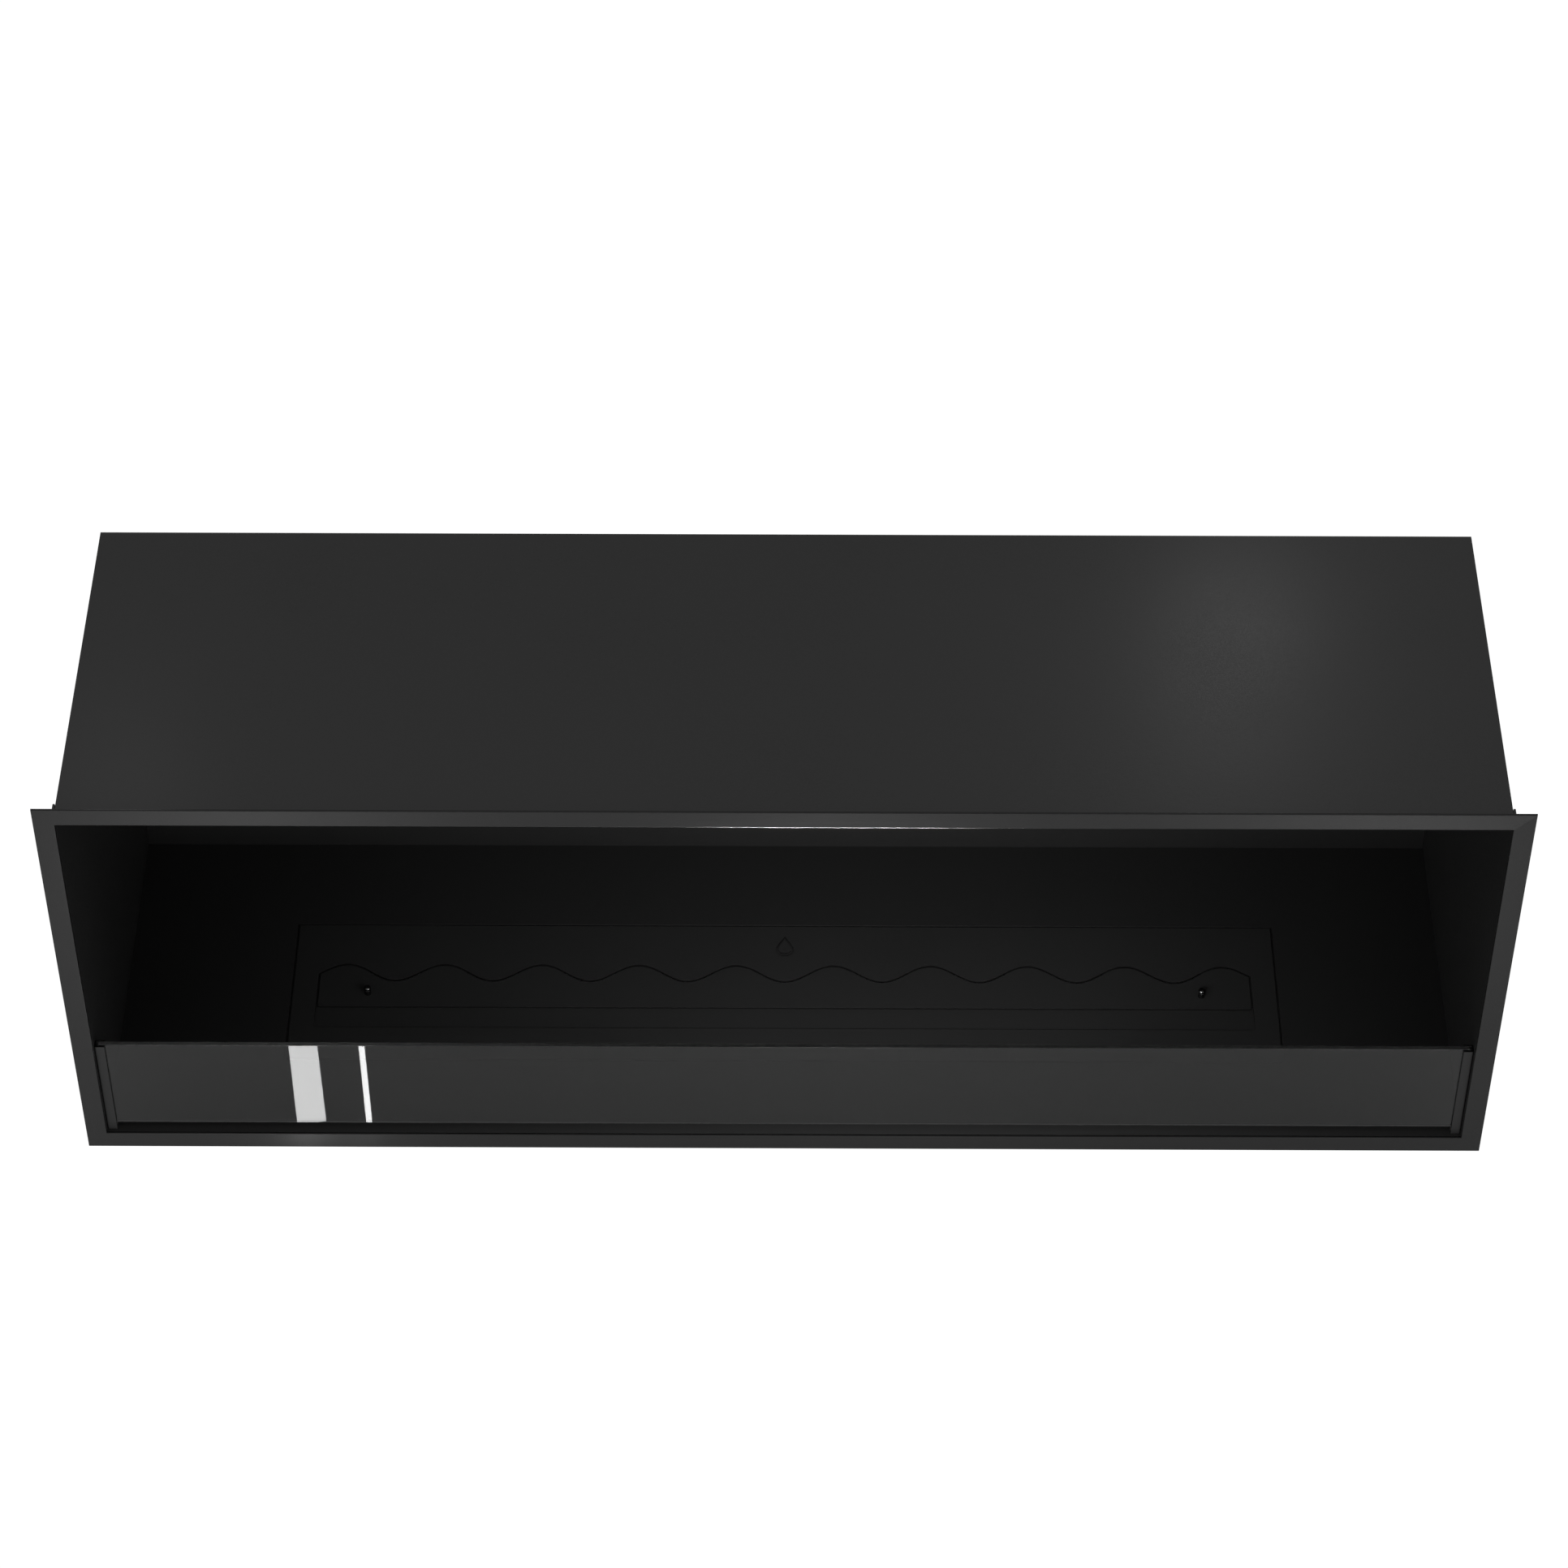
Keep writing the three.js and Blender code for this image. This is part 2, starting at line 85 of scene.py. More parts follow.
GAP = 0.3  # what the CAD pieces leave between each other where the real ones touch
EDGE = 0.3  # rounding of a cut sheet edge
FRAME_FACE = 18  # width of the front frame's bars
TRAY_SHEET = 1.5
DECK_THICK = 2
DECK_CLEARANCE = 1.6  # between the deck and the casing floor
LID_CLEARANCE = 1.6  # between the lid's ends and the deck
RECESS_FRONT = -44.6  # this and the other places on the deck are measured from its middle
MARK_Y = 55.6
STUD_RADIUS = 2
WAVE_PITCH = 88.8
WAVE_CRESTS = 10
WAVE_MIDDLE = 20.7
WAVE_HEIGHT = 9.7
WAVE_STEPS = 24

deck = extent("burner_deck")
lid = extent("lid_plate")
DECK_Y = (deck[2] + deck[3]) / 2
DECK_TOP = deck[5]
FRAME_SIDES = ("top", "right", "bottom", "left")
TRAY_SIDES = ("floor", "front", "back", "left", "right")
WELL = ["well_" + where for where in TRAY_SIDES]
TANK = ["tank_" + where for where in TRAY_SIDES]
STUDS = [which + "_" + row for which in ("left", "middle", "right") for row in ("front", "back")]


def wave_y(x):
    """The lid's wavy back edge."""
    first = -(WAVE_CRESTS - 1) * WAVE_PITCH / 2
    return DECK_Y + WAVE_MIDDLE + WAVE_HEIGHT * math.cos(2 * math.pi * (x - first) / WAVE_PITCH)


# ---- Outlines ----
def rounded(corners, steps=5):
    """A closed outline through (x, y, radius) corners, each turned by an arc of its radius."""
    points = []
    for i, (x, y, radius) in enumerate(corners):
        here = Vector((x, y))
        if radius == 0:
            points.append((x, y))
            continue
        before = (Vector(corners[i - 1][:2]) - here).normalized()
        after = (Vector(corners[(i + 1) % len(corners)][:2]) - here).normalized()
        half = before.angle(after) / 2
        centre = here + (before + after).normalized() * radius / math.sin(half)
        start = here + before * radius / math.tan(half) - centre
        end = here + after * radius / math.tan(half) - centre
        first = math.atan2(start.y, start.x)
        turn = (math.atan2(end.y, end.x) - first + math.pi) % (2 * math.pi) - math.pi
        for k in range(steps + 1):
            angle = first + turn * k / steps
            points.append((centre.x + radius * math.cos(angle), centre.y + radius * math.sin(angle)))
    return points


def rectangle(x0, x1, y0, y1, radius=0):
    return rounded([(x0, y0, radius), (x1, y0, radius), (x1, y1, radius), (x0, y1, radius)])


def circle(x, y, radius, steps=32):
    angles = [2 * math.pi * k / steps for k in range(steps)]
    return [(x + radius * math.cos(a), y + radius * math.sin(a)) for a in angles]


def wavy_outline(half_width, front, gap, corner):
    """A long plate whose back edge is the wave moved back by gap."""
    count = round(2 * half_width / WAVE_PITCH * WAVE_STEPS)
    xs = [half_width - 2 * half_width * k / count for k in range(1, count)]
    ends = wave_y(half_width) + gap
    corners = [(-half_width, front, corner), (half_width, front, corner), (half_width, ends, corner / 2)]
    corners += [(x, wave_y(x) + gap, 0) for x in xs]
    corners += [(-half_width, ends, corner / 2)]
    return rounded(corners)


# ---- Meshes ----
class Skin:
    """Points and faces of one closed piece, in millimetres."""

    def __init__(self):
        self.points = []
        self.faces = []

    def ring(self, points):
        first = len(self.points)
        self.points += points
        return range(first, len(self.points))

    def bridge(self, a, b):
        for i in range(len(a)):
            j = (i + 1) % len(a)
            self.faces.append((a[i], a[j], b[j], b[i]))

    def cap(self, ring):
        self.faces.append(tuple(ring))

    def tube(self, rings, closed=False):
        """Bridges a row of rings, with caps on the ends unless it closes on itself."""
        rings = [self.ring(points) for points in rings]
        for a, b in zip(rings, rings[1:]):
            self.bridge(a, b)
        if closed:
            self.bridge(rings[-1], rings[0])
        else:
            self.cap(rings[0])
            self.cap(rings[-1])

    def mesh(self):
        mesh = bpy.data.meshes.new("skin")
        mesh.from_pydata([[c * MM for c in point] for point in self.points], [], self.faces)
        return tidy_mesh(mesh)


def tidy_mesh(mesh):
    """Welds doubled points and turns every face outwards."""
    work = bmesh.new()
    work.from_mesh(mesh)
    bmesh.ops.remove_doubles(work, verts=work.verts, dist=0.01 * MM)
    bmesh.ops.recalc_face_normals(work, faces=work.faces)
    work.to_mesh(mesh)
    work.free()
    return mesh


def plate(outlines, bottom, top, edge=EDGE):
    """A sheet cut to the first outline, with the others as holes and all its edges rounded."""
    curve = bpy.data.curves.new("outline", "CURVE")
    curve.dimensions = "2D"
    curve.fill_mode = "BOTH"
    curve.extrude = (top - bottom) / 2 - edge
    curve.bevel_depth = edge
    curve.bevel_resolution = 1
    curve.offset = -edge
    for outline in outlines:
        spline = curve.splines.new("POLY")
        spline.points.add(len(outline) - 1)
        spline.points.foreach_set("co", [c for x, y in outline for c in (x, y, 0, 1)])
        spline.use_cyclic_u = True
    holder = bpy.data.objects.new("outline", curve)
    mesh = bpy.data.meshes.new_from_object(holder)
    middle = (bottom + top) / 2
    for vertex in mesh.vertices:
        vertex.co = (vertex.co + Vector((0, 0, middle))) * MM
    bpy.data.objects.remove(holder)
    bpy.data.curves.remove(curve)
    return tidy_mesh(mesh)


def slab(x0, x1, y0, y1, z0, z1, edge=EDGE, segments=3):
    """A flat block with rounded edges."""
    place = ((x0 + x1) / 2, (y0 + y1) / 2, (z0 + z1) / 2)
    size = (x1 - x0, y1 - y0, z1 - z0)
    work = bmesh.new()
    bmesh.ops.create_cube(work, size=1)
    for vertex in work.verts:
        vertex.co = [(p + s * c) * MM for p, s, c in zip(place, size, vertex.co)]
    bmesh.ops.bevel(
        work, geom=work.edges[:], offset=edge * MM, segments=segments, profile=0.5, affect="EDGES"
    )
    mesh = bpy.data.meshes.new("slab")
    work.to_mesh(mesh)
    work.free()
    return mesh


def merged(*meshes):
    """Several closed meshes as one."""
    work = bmesh.new()
    for mesh in meshes:
        work.from_mesh(mesh)
    joined = bpy.data.meshes.new("joined")
    work.to_mesh(joined)
    work.free()
    return joined


def carved(mesh, cutter):
    """mesh without what the cutter takes away."""
    target = bpy.data.objects.new("target", mesh)
    tool = bpy.data.objects.new("tool", cutter)
    for each in (target, tool):
        scene.collection.objects.link(each)
    cut = target.modifiers.new("cut", "BOOLEAN")
    cut.object = tool
    cut.operation = "DIFFERENCE"
    cut.solver = "EXACT"
    bpy.context.view_layer.update()
    ready = target.evaluated_get(bpy.context.evaluated_depsgraph_get())
    result = bpy.data.meshes.new_from_object(ready)
    bpy.data.objects.remove(target)
    bpy.data.objects.remove(tool)
    return result


def lathe(profile, place, axis="z", segments=40):
    """A profile of (radius, height) points turned about an axis through place. Its ends lie on the axis."""
    smallest = 0.001
    skin = Skin()
    rings = []
    for radius, height in profile:
        ring = []
        for x, y in circle(0, 0, max(radius, smallest), segments):
            local = {"z": (x, y, height), "x": (height, x, y), "-x": (-height, x, -y)}[axis]
            ring.append([p + c for p, c in zip(place, local)])
        rings.append(ring)
    skin.tube(rings)
    return skin.mesh()


def add_detail(name, mesh, node, smooth_angle=50):
    """A piece that the CAD leaves out. It rides with a CAD node and has its finish."""
    mesh.name = name
    mesh.materials.clear()
    mesh.materials.append(FINISHES[SLOT[node]])
    mesh.shade_smooth()
    mesh.set_sharp_from_angle(angle=math.radians(smooth_angle))
    piece = bpy.data.objects.new(name, mesh)
    scene.collection.objects.link(piece)
    weighted = piece.modifiers.new("weighted_normals", "WEIGHTED_NORMAL")
    weighted.keep_sharp = True
    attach(piece, BODY[node])
    return piece


def add_piece(name, mesh, *nodes, smooth_angle=50):
    """A piece that stands for the CAD nodes, with their body and finish."""
    piece = add_detail(name, mesh, nodes[0], smooth_angle)
    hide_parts(*nodes)
    return piece


# ---- Materials ----
class Finish:
    """One procedural material, built on the piece's own coordinates, in metres."""

    def __init__(self, name):
        self.material = bpy.data.materials.new(name)
        self.material.use_nodes = True
        self.tree = self.material.node_tree
        self.shader = self.tree.nodes["Principled BSDF"]
        coordinates = self.add("ShaderNodeTexCoord").outputs
        self.place, self.facing = coordinates["Object"], coordinates["Normal"]

    def add(self, kind, **settings):
        node = self.tree.nodes.new(kind)
        for name, value in settings.items():
            setattr(node, name, value)
        return node

    def link(self, start, end):
        self.tree.links.new(start, end)

    def set(self, **values):
        for name, value in values.items():
            self.shader.inputs[name.replace("_", " ")].default_value = value

    def noise(self, size, detail=3, stretch=(1, 1, 1)):
        """Noise whose features are about size metres across, longer along a stretched axis."""
        mapping = self.add("ShaderNodeMapping")
        mapping.inputs["Scale"].default_value = [1 / s for s in stretch]
        self.link(self.place, mapping.inputs["Vector"])
        texture = self.add("ShaderNodeTexNoise")
        texture.inputs["Scale"].default_value = 1 / size
        texture.inputs["Detail"].default_value = detail
        self.link(mapping.outputs["Vector"], texture.inputs["Vector"])
        return texture.outputs["Fac"]

    def spread(self, value, low, high, start=0.3, end=0.7):
        """value between start and end, moved to low and high."""
        node = self.add("ShaderNodeMapRange")
        for name, number in (("From Min", start), ("From Max", end), ("To Min", low), ("To Max", high)):
            node.inputs[name].default_value = number
        self.link(value, node.inputs["Value"])
        return node.outputs["Result"]

    def shades(self, value, dark, light):
        """A colour between two, by value."""
        node = self.add("ShaderNodeMix", data_type="RGBA")
        node.inputs[6].default_value = (*dark, 1)
        node.inputs[7].default_value = (*light, 1)
        self.link(value, node.inputs[0])
        return node.outputs[2]

    def combine(self, operation, a, b):
        node = self.add("ShaderNodeMath", operation=operation)
        self.link(a, node.inputs[0])
        self.link(b, node.inputs[1])
        return node.outputs[0]

    def multiply(self, a, b):
        return self.combine("MULTIPLY", a, b)

    def maximum(self, a, b):
        return self.combine("MAXIMUM", a, b)

    def flatness(self, across=None):
        """1 on faces square to the axis across the sheet, less on its edges. With no axis it falls only
        where an edge is rounded."""
        if across:
            parts = self.add("ShaderNodeSeparateXYZ")
            self.link(self.facing, parts.inputs["Vector"])
            return self.multiply(parts.outputs[across], parts.outputs[across])
        squares = self.add("ShaderNodeVectorMath", operation="MULTIPLY")
        fourths = self.add("ShaderNodeVectorMath", operation="DOT_PRODUCT")
        for k in (0, 1):
            self.link(self.facing, squares.inputs[k])
            self.link(squares.outputs["Vector"], fourths.inputs[k])
        return fourths.outputs["Value"]

    def bump(self, *layers):
        """Bumps on top of each other, each (height, depth in metres)."""
        normal = None
        for height, depth in layers:
            node = self.add("ShaderNodeBump")
            node.inputs["Distance"].default_value = depth
            self.link(height, node.inputs["Height"])
            if normal is not None:
                self.link(normal, node.inputs["Normal"])
            normal = node.outputs["Normal"]
        self.link(normal, self.shader.inputs["Normal"])

    def colour(self, output):
        self.link(output, self.shader.inputs["Base Color"])

    def roughness(self, output):
        self.link(output, self.shader.inputs["Roughness"])


def grey(value):
    return (value, value, value)


def powder_coat(name, tone, roughness, bead, depth, across, painted_edge_shade, edge_roughness):
    """Baked powder: fine beads over a soft orange peel, with faint cloudy patches that are more matt. The
    edges carry painted shade, their colour scaled down by the edge shade factor, and are edge_roughness
    times as rough."""
    peel_size, peel_depth, cloud_size = 0.006, 0.00006, 0.17
    coat = Finish(name)
    beads = coat.noise(bead, detail=2)
    peel = coat.noise(peel_size, detail=1)
    clouds = coat.noise(cloud_size, detail=4)
    flat = coat.flatness(across)
    shade = coat.multiply(coat.spread(beads, 0.86, 1.14), coat.spread(clouds, 0.93, 1.07))
    # painted shade: the coat's edges are drawn darker than its faces, by the edge shade factor
    shade = coat.multiply(shade, coat.spread(flat, painted_edge_shade, 1, 0.5, 0.9))
    coat.colour(coat.shades(shade, grey(0), grey(tone)))
    grain = coat.spread(beads, roughness - 0.04, roughness + 0.04)
    grain = coat.multiply(coat.spread(clouds, 0.95, 1.06), grain)
    coat.roughness(coat.multiply(grain, coat.spread(flat, edge_roughness, 1, 0.5, 0.9)))
    coat.bump((peel, peel_depth), (beads, depth))
    coat.set(Specular_IOR_Level=0.3)
    return coat.material


def black_chrome():
    """Turned and plated steel: tight rings around each peg, dark and glossy."""
    chrome = Finish("black_chrome")
    rings = chrome.noise(0.0002, detail=2, stretch=(40, 40, 1))
    smears = chrome.noise(0.003)
    chrome.colour(chrome.shades(smears, grey(0.10), grey(0.16)))
    chrome.roughness(chrome.multiply(chrome.spread(smears, 0.9, 1.2), chrome.spread(rings, 0.14, 0.22)))
    chrome.bump((rings, 0.000004))
    chrome.set(Metallic=1.0)
    return chrome.material


def screen_glass():
    """Lightly smoked tempered glass with finely ground edges and a breath of haze left by wiping."""
    glass = Finish("screen_glass")
    wiped = glass.noise(0.02, detail=4, stretch=(6, 6, 1))
    waves = glass.noise(0.12, detail=1)
    smoke = glass.noise(0.2, detail=1)
    glass.colour(glass.shades(smoke, (0.335, 0.34, 0.338), (0.372, 0.376, 0.374)))
    ground = glass.spread(glass.flatness("Y"), 0.4, 0, 0.2, 0.9)
    glass.roughness(glass.maximum(ground, glass.spread(wiped, 0.0, 0.02, 0.5, 0.8)))
    glass.bump((waves, 0.00001))
    glass.set(Transmission_Weight=1.0, IOR=1.65)
    return glass.material


def silicone():
    rubber = Finish("silicone")
    dust = rubber.noise(0.0015)
    rubber.colour(rubber.shades(rubber.spread(dust, 0, 1), grey(0.014), grey(0.026)))
    rubber.roughness(rubber.spread(dust, 0.55, 0.7))
    rubber.bump((rubber.noise(0.0004), 0.00004))
    rubber.set(Sheen_Weight=0.15)
    return rubber.material


def brushed_steel():
    """Stainless sheet brushed along its length, tinted brown towards the flames."""
    heat_from, heat_to = 0.045, 0.060
    steel = Finish("brushed_steel")
    lines = steel.noise(0.0006, detail=3, stretch=(60, 1, 1))
    patches = steel.noise(0.08)
    height = steel.add("ShaderNodeSeparateXYZ")
    steel.link(steel.place, height.inputs["Vector"])
    hot = steel.spread(height.outputs["Z"], 0, 1, heat_from, heat_to)
    heat = steel.multiply(hot, steel.spread(patches, 0.2, 1.0))
    bare = steel.shades(steel.spread(lines, 0, 1), grey(0.46), grey(0.60))
    tint = steel.add("ShaderNodeMix", data_type="RGBA")
    tint.inputs[7].default_value = (0.42, 0.30, 0.20, 1)
    steel.link(heat, tint.inputs[0])
    steel.link(bare, tint.inputs[6])
    steel.colour(tint.outputs[2])
    steel.roughness(steel.spread(lines, 0.26, 0.42))
    steel.bump((lines, 0.00002))
    steel.set(Metallic=1.0)
    return steel.material


def ceramic_fibre():
    """Loose white wool: crossing strands, with painted shade in the pits between them."""
    wool = Finish("ceramic_fibre")
    strands = wool.noise(0.0008, detail=4, stretch=(7, 1, 2))
    cross = wool.noise(0.0008, detail=4, stretch=(1, 6, 2))
    weave = wool.multiply(strands, cross)
    # painted shade: the colour darkens where the weave's bump is low
    depth = wool.spread(weave, 0, 1, 0.12, 0.34)
    wool.colour(wool.shades(depth, (0.52, 0.49, 0.43), (0.84, 0.82, 0.77)))
    wool.roughness(wool.spread(strands, 0.88, 1.0))
    wool.bump((weave, 0.0012))
    wool.set(Sheen_Weight=0.3, Specular_IOR_Level=0.2)
    return wool.material


def zinc_plate():
    zinc = Finish("zinc_plate")
    spangle = zinc.noise(0.0012, detail=2)
    zinc.colour(zinc.shades(zinc.spread(spangle, 0, 1), (0.50, 0.51, 0.54), (0.66, 0.65, 0.60)))
    zinc.roughness(zinc.spread(spangle, 0.28, 0.42))
    zinc.bump((zinc.noise(0.0003), 0.00001))
    zinc.set(Metallic=1.0)
    return zinc.material


FINISHES = {
    # The edge shade factors below are painted shade: they darken the casing's rounded edges, the frame's
    # faces that don't face front or back, and the burner's upright cut edges.
    "casing_coat": powder_coat(
        "casing_coat", tone=0.025, roughness=0.44, bead=0.0011, depth=0.00005,
        across=None, painted_edge_shade=0.3, edge_roughness=1.8,
    ),
    "frame_coat": powder_coat(
        "frame_coat", tone=0.038, roughness=0.44, bead=0.0010, depth=0.00010,
        across="Y", painted_edge_shade=0.15, edge_roughness=0.45,
    ),
    "burner_coat": powder_coat(
        "burner_coat", tone=0.028, roughness=0.56, bead=0.0007, depth=0.00005,
        across="Z", painted_edge_shade=0.15, edge_roughness=1.7,
    ),
    "peg_metal": black_chrome(),
    "screen_glass": screen_glass(),
    "rest_rubber": silicone(),
    "tank_steel": brushed_steel(),
    "fibre_wool": ceramic_fibre(),
    "nut_zinc": zinc_plate(),
}


# ---- Casing: five sheets welded along their edges ----
def casing():
    x0, x1, y0, y1, z0, z1 = extent("casing_floor")
    wider, corner = DECK_CLEARANCE, 1.2
    hole = rectangle(deck[0] - wider, deck[1] + wider, deck[2] - wider, deck[3] + wider, corner)
    add_piece("floor_sheet", plate([rectangle(x0, x1, y0, y1), hole], z0, z1), "casing_floor")
    add_piece("top_sheet", slab(*extent("casing_top")), "casing_top")
    x0, x1, y0, y1, z0, z1 = extent("casing_back")
    add_piece("back_sheet", slab(x0 - GAP, x1 + GAP, y0, y1, z0 - GAP, z1 + GAP), "casing_back")
    for side in ("left", "right"):
        x0, x1, y0, y1, z0, z1 = extent("casing_" + side)
        add_piece(side + "_sheet", slab(x0, x1, y0, y1, z0 - GAP, z1 + GAP), "casing_" + side)


# ---- Front frame: four bars welded at their mitres and ground smooth ----
def ring_bar(where, profile):
    """One side of a rectangular ring, cut at 45 degrees. profile holds (inset from the outside, y)."""
    x0, x1 = extent("frame_top")[:2]
    z0, z1 = extent("frame_left")[4:]
    mitre = GAP / 2
    x0, x1, z0, z1 = x0 - mitre, x1 + mitre, z0 - mitre, z1 + mitre
    ends = {
        "top": lambda d: ((x0 + d, z1 - d), (x1 - d, z1 - d)),
        "bottom": lambda d: ((x0 + d, z0 + d), (x1 - d, z0 + d)),
        "left": lambda d: ((x0 + d, z0 + d), (x0 + d, z1 - d)),
        "right": lambda d: ((x1 - d, z0 + d), (x1 - d, z1 - d)),
    }[where]
    skin = Skin()
    skin.tube([[(ends(d)[k][0], y, ends(d)[k][1]) for d, y in profile] for k in (0, 1)])
    return skin.mesh()


def front_frame():
    front, back = extent("frame_top")[2:4]
    outer, inner, rear = 0.6, 1.0, 0.3
    corners = [(0, front, outer), (FRAME_FACE, front, inner), (FRAME_FACE, back, rear), (0, back, rear)]
    section = rounded(corners, steps=4)
    for where in FRAME_SIDES:
        add_piece("frame_bar_" + where, ring_bar(where, section), "frame_" + where)
    for side in ("left", "right"):
        add_piece("collar_strip_" + side, slab(*extent("collar_" + side)), "collar_" + side)


# ---- Glass screen ----
def glass_screen():
    bend, inside, sheet, edge = 1.9, 0.4, 1.5, 0.25
    for side, sign in (("left", -1), ("right", 1)):
        x0, x1, y0, y1, z0, z1 = extent("glass_channel_" + side)
        wall, lip = (x0 - GAP, x1) if sign < 0 else (x1 + GAP, x0)
        web = wall - sign * sheet
        section = rounded([
            (wall, y0, bend), (lip, y0, inside), (lip, y0 + sheet, inside), (web, y0 + sheet, inside),
            (web, y1 - sheet, inside), (lip, y1 - sheet, inside), (lip, y1, inside), (wall, y1, bend),
        ])
        add_piece("channel_" + side, plate([section], z0 - GAP, z1, edge), "glass_channel_" + side)
        add_piece("rest_block_" + side, slab(*extent("glass_rest_" + side), edge=0.8), "glass_rest_" + side)
        for level in ("lower", "upper"):
            node = "channel_rivet_%s_%s" % (side, level)
            add_piece("rivet_%s_%s" % (side, level), rivet(node, sign), node)
    pane = add_piece("pane", slab(*extent("glass_pane"), edge=0.6), "glass_pane")
    # The lamps light the burner through the pane.
    pane.visible_shadow = False


def rivet(node, sign):
    """A blind rivet: a shallow dome with the stub of its mandrel sunk in the middle."""
    x0, x1, y0, y1, z0, z1 = extent(node)
    head, dome, shank, stub, under = (y1 - y0) / 2, 1.5, 2.0, 1.0, -0.2
    inner, outer = (x1, x0) if sign < 0 else (x0, x1)
    face = outer - sign * dome
    foot = sign * (inner - face)
    angles = [math.radians(a) for a in range(0, 75, 12)]
    profile = [(0, foot), (shank, foot), (shank, under), (head, under)]
    profile += [(head * math.cos(a), dome * math.sin(a)) for a in angles]
    # the hole in the dome, and the stub at its bottom
    profile += [(stub + 0.3, dome * 0.96), (stub, dome * 0.85), (stub, dome * 0.3)]
    profile += [(stub - 0.15, dome * 0.3), (stub - 0.25, dome * 0.5), (0, dome * 0.55)]
    axis = "x" if sign > 0 else "-x"
    return lathe(profile, (face, (y0 + y1) / 2, (z0 + z1) / 2), axis)


# ---- Trays ----
def tray(nodes, corner, fold):
    """A welded tray with rounded upright corners and a folded bottom edge."""
    sharpest = 0.5
    x0, x1, y0, y1, z0, z1 = extent(*nodes)
    arc = [math.radians(a) for a in range(0, 91, 15)]
    profile = [(fold - fold * math.sin(a), z0 + fold - fold * math.cos(a)) for a in arc]
    profile += [(0, z1 - EDGE), (EDGE, z1), (TRAY_SHEET - EDGE, z1), (TRAY_SHEET, z1 - EDGE)]
    inner = fold - TRAY_SHEET
    profile += [(fold - inner * math.sin(a), z0 + fold - inner * math.cos(a)) for a in reversed(arc)]
    skin = Skin()
    rings = []
    for inset, z in profile:
        ring = rectangle(x0 + inset, x1 - inset, y0 + inset, y1 - inset, max(corner - inset, sharpest))
        rings.append([(x, y, z) for x, y in ring])
    skin.tube(rings)
    return skin.mesh()


def tray_rim(node, tray_nodes, corner):
    """The flat ring welded around a tray's mouth."""
    outer_corner = 3
    x0, x1, y0, y1, z0, z1 = extent(node)
    inner = rectangle(*extent(*tray_nodes)[:4], corner)
    return plate([rectangle(x0, x1, y0, y1, outer_corner), inner], z0, z1)


def bead(start, end, radius, spacing=2.4):
    """A weld run: overlapping ripples, thinner at the start and the end."""
    samples, trough, tip, wobble, sides = 6, 0.82, 0.02, 0.12, 12
    start, end = Vector(start), Vector(end)
    along = end - start
    length = along.length
    along.normalize()
    side = along.orthogonal().normalized()
    up = along.cross(side)
    count = int(length / spacing * samples)
    rings = []
    for k in range(count + 1):
        way = length * k / count
        ripple = trough + (1 - trough) * abs(math.sin(math.pi * way / spacing))
        taper = math.sqrt(max(tip, min(1, way / radius, (length - way) / radius)))
        wander = wobble * radius * noise.noise(start + along * way)
        ring = circle(0, 0, radius * ripple * taper + wander, sides)
        rings.append([tuple(start + along * way + side * x + up * y) for x, y in ring])
    skin = Skin()
    skin.tube(rings)
    return skin.mesh()


def burner_well():
    corner, fold = 3, 3
    add_piece("well_tray", tray(WELL, corner, fold), *WELL)
    add_piece("well_flange", tray_rim("well_rim", WELL, corner), "well_rim")
    x0, x1, y0, y1, z0, z1 = extent("well_rim")
    run, welds, rim_weld, corner_weld, inward = 26, 7, 1.3, 1.1, 0.9985
    height = z1 - 0.3
    beads = []
    for k in range(welds):
        x = x0 + (x1 - x0) * (k + 0.5) / welds
        for y in (y0, y1):
            beads.append(bead((x - run / 2, y, height), (x + run / 2, y, height), rim_weld))
    well = extent(*WELL)
    for x in (well[0] * inward, well[1] * inward):
        for y in (well[2], well[3]):
            beads.append(bead((x, y, z0 - 2.5), (x, y, fold + 1), corner_weld))
    add_detail("well_welds", merged(*beads), "well_rim")


# ---- Burner ----
def thread(radius, top, bottom, pitch=0.7, depth=0.3):
    """A threaded end as a profile, from the bottom up."""
    root = 0.1
    profile = [(0, bottom), (radius - depth, bottom)]
    turns = int((top - bottom) / pitch)
    for k in range(turns):
        z = bottom + pitch * k
        profile += [(radius - depth, z + root), (radius, z + pitch / 2)]
    return profile + [(radius, top), (0, top)]


def drop(half_width, half_height, steps=48):
    """The outline of a drop of liquid, with its tip at the back."""
    taper = 1.4
    points = []
    for k in range(steps):
        t = 2 * math.pi * k / steps
        points.append((half_width * math.sin(t) * math.sin(t / 2) ** taper, half_height * math.cos(t)))
    return points


def burner_deck():
    opening = wavy_outline(lid[1] + LID_CLEARANCE, DECK_Y + RECESS_FRONT, gap=1.9, corner=2.2)
    corner, deep, above, overlap = 1.5, 1.6, 1, 0.1
    mesh = plate([rectangle(*deck[:4], corner), opening], DECK_TOP - DECK_THICK, DECK_TOP)
    outer, inner = drop(11.5, 12.2), drop(8.2, 8.5)
    sign = [[(x, DECK_Y + MARK_Y + y) for x, y in outline] for outline in (outer, inner)]
    mesh = carved(mesh, plate(sign, DECK_TOP - deep, DECK_TOP + above, edge=0.05))
    screw = thread(STUD_RADIUS, DECK_TOP - DECK_THICK + overlap, deck[4])
    studs = [lathe(screw, (x, y, 0)) for x, y in stud_places()]
    add_piece("deck_plate", merged(mesh, *studs), "burner_deck")


def stud_places():
    boxes = [extent("deck_nut_" + stud) for stud in STUDS]
    return [((x0 + x1) / 2, (y0 + y1) / 2) for x0, x1, y0, y1, _, _ in boxes]


